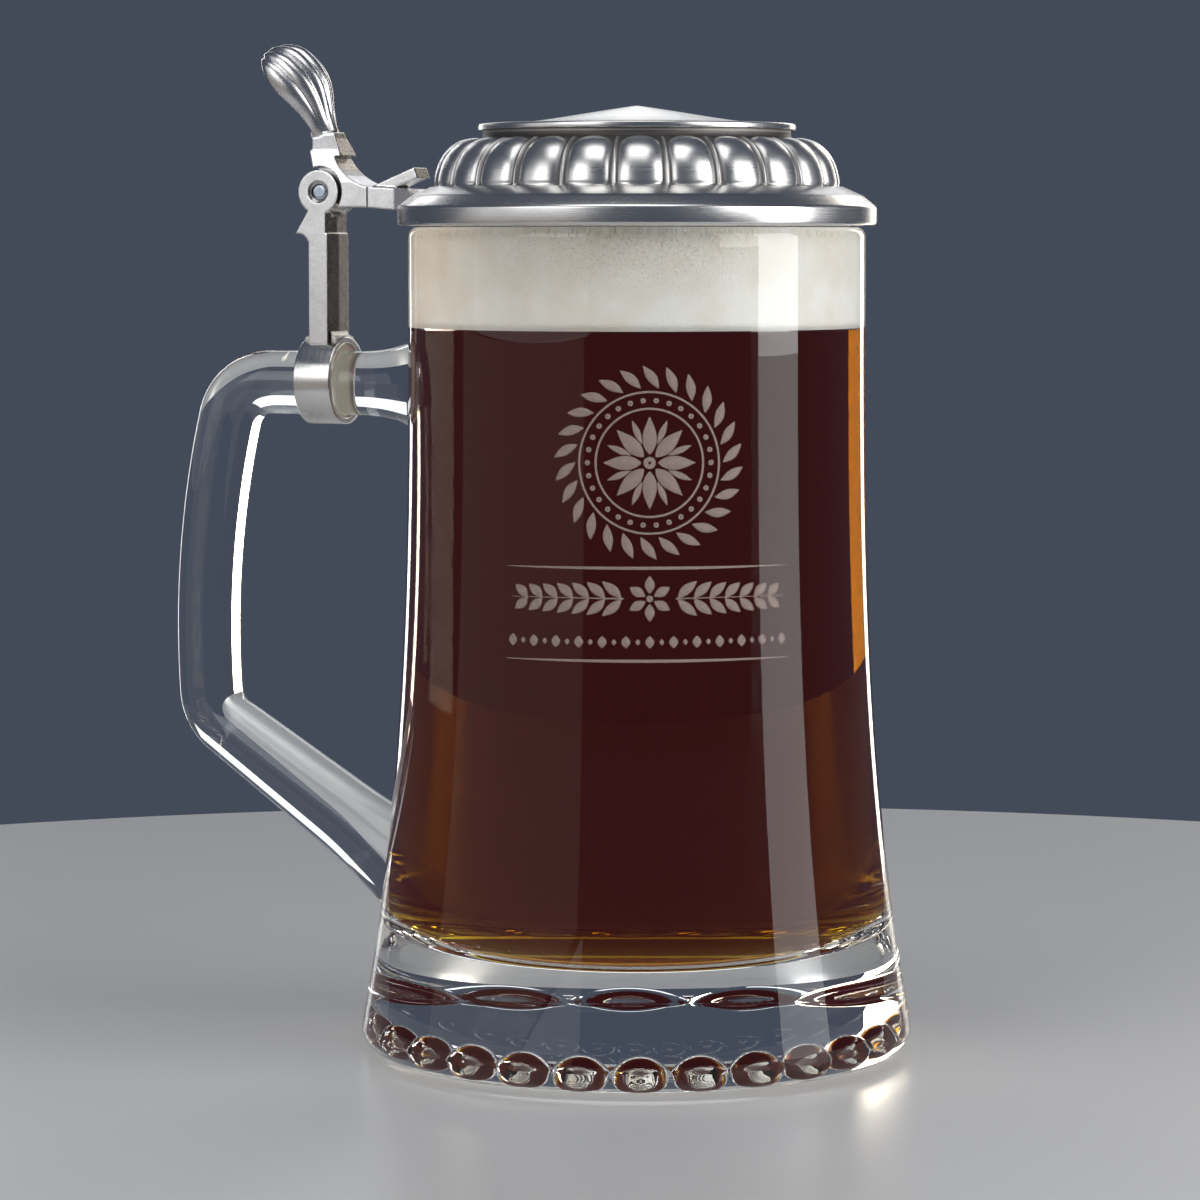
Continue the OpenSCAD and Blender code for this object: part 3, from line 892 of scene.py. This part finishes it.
def makeLid():
    # the outline turned round Z, with the dome's rows pushed in and out by the lobes
    stretches = lidOutline()
    edgeLine, dome = stretches[:2]
    outline = np.concatenate(stretches)
    angles, across = lobeColumns()
    pitch = 360 / lid["lobes"]
    u = np.linspace(0, 1, len(dome))
    first = len(edgeLine)
    last = first + len(dome)
    rows = slice(first, last)
    # the lobes are pillows: bulge times (1 - distance to a power) to a power, where the distance grows
    # across the lobe and, near its ends, along it; each groove holds a thin round bead
    lobeHalf = (pitch - lid["grooveDegrees"]) / 2
    acrossShare = np.abs(across) / lobeHalf
    topCap = np.clip((u - 0.66) / 0.27, 0, None)
    lowCap = np.clip((0.07 - u) / 0.09, 0, None)
    endShare = (topCap + lowCap)[:, None]
    distance = (acrossShare[None, :] ** 2.3 + endShare ** 2.3) ** (1 / 2.3)
    pillow = np.clip(1 - distance ** 2.1, 0, 1) ** 0.62
    toBead = (pitch / 2 - np.abs(across)) / (lid["beadDegrees"] / 2)
    bead = np.sqrt(np.clip(1 - toBead ** 2, 0, 1))[None, :] * smoothStep(0.97, 0.86, u)[:, None]
    raised = -lid["bulge"] + lid["bulge"] * pillow + lid["beadHeight"] * bead
    raised[0] *= 0.3
    tangent = np.gradient(dome, axis=0)
    normal = np.stack([tangent[:, 1], -tangent[:, 0]], axis=-1) / np.linalg.norm(tangent, axis=1)[:, None]
    lift = np.zeros((2, len(outline), len(angles)))
    lift[0, rows] = normal[:, 0][:, None] * raised
    lift[1, rows] = normal[:, 1][:, None] * raised
    outline[:, 1] += lidLow[2]
    points = turned(outline, angles, lift)
    # painted shade: darker in the grooves, and a painted shadow in the undercut below the plate
    hollow = np.zeros(points.shape[:2])
    hollow[rows] = np.clip(1 - pillow * 3.2, 0, 1) * (1 - 0.9 * bead)
    hollow[last - 1:last + 6] = 1
    mesh = newMesh("fluted_lid", points, gridFaces(len(outline), len(angles), wrapRows=True, wrapCols=True))
    stainAndShade = mesh.attributes.new("hollow", "FLOAT", "POINT")
    stainAndShade.data.foreach_set("value", hollow.reshape(-1).astype(np.float32))
    # the lobes are brushed by hand, the rest is turned
    chased = np.zeros(len(outline), np.int32)
    chased[rows] = 1
    mesh.polygons.foreach_set("material_index", np.repeat(chased, len(angles)))
    tidyMesh(mesh)
    piece = addObject("fluted_lid", mesh, [lidPewter, lobePewter])
    return install(piece, "lid", ["lid"])


makeLid()


# ring, liner, solder, shank and pin

fittings = {
    "ringEase": 0.3,      # radius of the eased edges
    "linerEase": 0.15,
    "gap": 0.05,          # between the liner and what it touches
    "voxel": 0.14,        # size of the cubes that ease a CAD piece's corners
    "rounds": 3,
}


def barTurned(name, outline, count, finish, centreZ):
    # a closed outline of (radius, x) points carried round the handle's top bar; centreZ is one height for
    # all points, or one for each
    angle = evenAngles(count)
    radius = outline[:, 0][:, None]
    x = outline[:, 1][:, None] + 0 * angle
    height = np.broadcast_to(centreZ, len(outline))[:, None] + radius * np.sin(angle)
    points = np.stack([x, radius * np.cos(angle), height], axis=-1)
    mesh = newMesh(name, points, gridFaces(len(outline), count, wrapRows=True, wrapCols=True))
    tidyMesh(mesh)
    return addObject(name, mesh, [finish])


def closedBand(inside, outside, low, high, ease):
    # the outline of a band with eased corners
    middle = (low + high) / 2
    return filleted([(inside, middle, 0), (inside, low, ease), (outside, low, ease), (outside, high, ease),
                     (inside, high, ease), (inside, middle + 0.01, 0)], 5)


def milkySleeve():
    finish = Finish("milkySleeve", {"Roughness": 0.4, "Transmission Weight": 0.3, "Subsurface Weight": 0.4,
                                    "Subsurface Scale": 0.001})
    patches = finish.noise(finish.place(), 0.6, 4)
    finish.feed("Base Color", finish.blend(patches, (0.84, 0.83, 0.79), (0.70, 0.67, 0.58)))
    return finish


def makeFittings():
    f = fittings
    outer = (ringHigh[2] - ringLow[2]) / 2
    linerLow, linerHigh = boxOf("ring_liner")
    linerOut = (linerHigh[2] - linerLow[2]) / 2
    band = closedBand(linerOut + f["gap"], outer, ringLow[0], ringHigh[0], f["ringEase"])
    ring = barTurned("clamp_ring", band, 160, ringPewter, ringZ)
    install(ring, "mug", ["handle_ring"])
    # the liner's bore is centred on the bar and its outside on the ring
    bore = glass["rod"] / 2 + f["gap"]
    sleeve = closedBand(bore, linerOut, linerLow[0], linerHigh[0], f["linerEase"])
    share = (sleeve[:, 0] - bore) / (linerOut - bore)
    liner = barTurned("liner", sleeve, 128, milkySleeve(), barZ + (ringZ - barZ) * share)
    install(liner, "mug", ["ring_liner"])
    for node, name, finish, slot in [("hinge_shank", "shank", satinCast, "cast_metal"),
                                     ("hinge_pin", "pin", bluedPin, "pin_steel"),
                                     ("ring_solder", "solder", grainySolder, "solder")]:
        piece = softened(name, node, f["voxel"], f["rounds"])
        piece.data.materials.append(finish.material)
        install(piece, "mug", [node])


makeFittings()


# thumblift and tang

# curves as (towards the mug, up) from the pin
shell = {
    "front": [(3.9, 8.0), (-1.7, 17.0), (3.6, 20.8), (-4.4, 27.2)],         # the crest, from its foot up
    "tip": [(-4.4, 27.2), (-6.3, 28.9), (-11.5, 29.3), (-12.6, 26.2)],      # and over the end
    "back": [(-1.6, 9.0), (-1.8, 14.5), (-9.6, 19.0), (-12.8, 25.8)],       # the side edges
    "neck": 2.6,          # half-width at the foot
    "wide": 7.0,          # half-width at the broadest
    "lobes": 7,
    "groove": 0.75,       # depth between two ribs
    "cut": 11.5,          # height where the shell takes over from the plain casting
    "voxel": 0.13,
    "rounds": 5,
}


def shellMesh():
    # sections across the spine: an arch from one back edge over the crest to the other, and a lower one
    # back inside it; t runs up the spine, angle across it
    crest = np.concatenate([bezierLine(shell["front"], 60), bezierLine(shell["tip"], 26)[1:]])
    t = np.linspace(0, 1, len(crest))
    back = bezierLine(shell["back"], len(crest))
    across = crest - back
    # the width grows up to full, then closes round the end like a power of a circle
    full = 0.72
    width = shell["neck"] + (shell["wide"] - shell["neck"]) * smoothStep(0.05, full, t)
    width = width * np.sqrt(np.clip(1 - np.clip((t - full) / 0.285, 0, 1) ** 2.4, 0.004, 1))
    angle = np.radians(np.linspace(-90, 90, 141))
    groove = 1 - np.abs(np.cos(shell["lobes"] * angle)) ** 0.75
    depth = shell["groove"] * smoothStep(0.08, 0.5, t)
    reach = np.linalg.norm(across, axis=1)
    outer = 1 - (depth / np.maximum(reach, 2.5))[:, None] * groove[None, :]
    inner = 0.55 * smoothStep(0.1, 0.5, t)[:, None]
    arch = np.cos(angle)[None, :] ** 0.85
    sine = np.sin(angle)[None, :]
    forward = np.concatenate([outer * arch, inner * arch[:, ::-1]], axis=1)
    insideSine = np.repeat(0.9 * sine[:, ::-1], len(t), axis=0)
    sideways = np.concatenate([outer * sine, insideSine], axis=1) * width[:, None]
    x = pinX + back[:, 0][:, None] + across[:, 0][:, None] * forward
    z = pinZ + back[:, 1][:, None] + across[:, 1][:, None] * forward
    points = np.stack([x, sideways, z], axis=-1)
    rows, cols = points.shape[:2]
    mesh = newMesh("shell", points, cappedFaces(rows, cols))
    tidyMesh(mesh, 0.01)
    return mesh


def makeThumblift():
    # the casting's lower part is the CAD piece, cut level above the block; the ribbed shell grows out of it
    work = bmesh.new()
    work.from_mesh(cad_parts["thumblift"].data)
    bmesh.ops.remove_doubles(work, verts=work.verts, dist=1e-4 * mm)
    level = (0, 0, (pinZ + shell["cut"]) * mm)
    cut = bmesh.ops.bisect_plane(work, geom=work.verts[:] + work.edges[:] + work.faces[:], dist=1e-9,
                                 plane_co=level, plane_no=(0, 0, 1), clear_outer=True)
    edges = [item for item in cut["geom_cut"] if isinstance(item, bmesh.types.BMEdge)]
    bmesh.ops.triangle_fill(work, edges=edges, use_beauty=True)
    work.from_mesh(shellMesh())
    bmesh.ops.recalc_face_normals(work, faces=work.faces)
    mesh = bpy.data.meshes.new("thumb_lever")
    work.to_mesh(mesh)
    work.free()
    lever = eased(addObject("thumb_lever", mesh), shell["voxel"], shell["rounds"])
    tang = softened("tang", "lid_tang", fittings["voxel"], fittings["rounds"])
    for piece, node in [(lever, "thumblift"), (tang, "lid_tang")]:
        piece.data.materials.append(satinCast.material)
        install(piece, "lid", [node])


makeThumblift()


# floor, light and camera

table = {
    "radius": 360.0,
    "thick": 15.0,
    "colour": (0.62, 0.62, 0.62),
    "roughness": 0.35,
    "room": (0.058, 0.070, 0.098),      # the dim blue-grey of the studio behind it
}


def makeStage():
    # a round pale table top with a rounded edge
    radius, thick = table["radius"], table["thick"]
    outline = filleted([(0, 0, 0), (radius, 0, 2), (radius, -thick, 0), (0, -thick, 0)], 6)
    points = turned(outline, evenAngles(128))
    mesh = newMesh("table", points, gridFaces(*points.shape[:2], wrapCols=True))
    tidyMesh(mesh)
    finish = Finish("paleTable", {"Base Color": table["colour"], "Roughness": table["roughness"]})
    addObject("table", mesh, [finish])
    world = bpy.data.worlds.new("studio")
    world.use_nodes = True
    background = world.node_tree.nodes["Background"]
    background.inputs["Color"].default_value = (*table["room"], 1)
    background.inputs["Strength"].default_value = 1.0
    scene.world = world
    print("table and room made")


cameraSpot = {
    "azimuth": 21.5,      # degrees round from looking along +Y
    "distance": 844.0,
    "height": 154.6,
    "pitch": 4.7,         # degrees down
    "side": 0.47,         # degrees to the left of the axis
    "lens": 134.2,
}


def makeCamera():
    c = cameraSpot
    data = bpy.data.cameras.new("camera")
    data.lens = c["lens"]
    data.sensor_width = 36
    data.clip_start = 0.01
    camera = bpy.data.objects.new("camera", data)
    scene.collection.objects.link(camera)
    turn = math.radians(c["azimuth"])
    distance = c["distance"] * mm
    camera.location = (distance * math.sin(turn), -distance * math.cos(turn), c["height"] * mm)
    camera.rotation_euler = (math.radians(90 - c["pitch"]), 0, turn + math.radians(c["side"]))
    scene.camera = camera
    print("camera placed")


white = (1.0, 1.0, 1.0)
cream = (1.0, 0.93, 0.82)
warm = (1.0, 0.86, 0.68)
# degrees to the right of the camera, distance, height, width and tallness in metres, brightness, colour
softBoxes = {
    "veilLow": (-60, 0.8, -0.08, 1.1, 0.40, 0.26, warm),
    "veilHigh": (-55, 0.8, 0.32, 1.0, 0.40, 0.6, white),
    "keyLeft": (-43, 0.78, 0.49, 0.46, 0.50, 1.9, white),
    "keyRight": (52, 0.78, 0.475, 0.32, 0.60, 2.6, white),
    "stripeLow": (73, 0.7, -0.022, 0.30, 0.28, 2.2, white),
    "stripeHigh": (73, 0.7, 0.338, 0.30, 0.44, 5.0, white),
    "top": (-10, 0.30, 0.95, 0.6, 0.6, 2.0, white),
    "topBack": (172, 0.9, 0.52, 0.8, 0.30, 1.2, white),
    "amber": (-124, 0.85, 0.15, 0.46, 0.90, 9.0, warm),
    "edgeLeft": (-155, 0.85, 0.20, 0.10, 0.80, 4.0, white),
    "edgeRight": (154, 0.85, 0.20, 0.12, 0.80, 5.0, cream),
}
# amber only shows through the beer's edge, and the two edge boxes only as lines on the glass
hiddenFrom = {
    "amber": ("glossy", "diffuse"),
    "edgeLeft": ("transmission",),
    "edgeRight": ("transmission",),
}
uprightBelow = 0.5        # boxes with a lower centre stand upright
steinMiddle = 0.1


def softBox(name, azimuth, distance, height, width, tall, brightness, colour):
    # a rectangle of light that faces the stein
    data = bpy.data.lights.new(name, "AREA")
    data.shape = "RECTANGLE"
    data.size = width
    data.size_y = tall
    data.energy = brightness * math.pi * width * tall
    data.color = colour
    lamp = bpy.data.objects.new(name, data)
    scene.collection.objects.link(lamp)
    turn = math.radians(cameraSpot["azimuth"] + azimuth)
    spot = np.array([distance * math.sin(turn), -distance * math.cos(turn), height])
    target = np.array([0, 0, height if height <= uprightBelow else steinMiddle])
    look = target - spot
    lamp.location = spot
    tilt = math.atan2(math.hypot(look[0], look[1]), -look[2])
    lamp.rotation_euler = (tilt, 0, math.atan2(look[1], look[0]) - math.pi / 2)
    lamp.visible_camera = False
    for ray in hiddenFrom.get(name, ()):
        setattr(lamp, "visible_" + ray, False)


makeStage()
makeCamera()
for name, setting in softBoxes.items():
    softBox(name, *setting)
print(len(softBoxes), "soft boxes placed")
scene.view_settings.view_transform = "Standard"
scene.cycles.transparent_max_bounces = 24
scene.cycles.transmission_bounces = 24
scene.cycles.max_bounces = 24
scene.cycles.glossy_bounces = 8

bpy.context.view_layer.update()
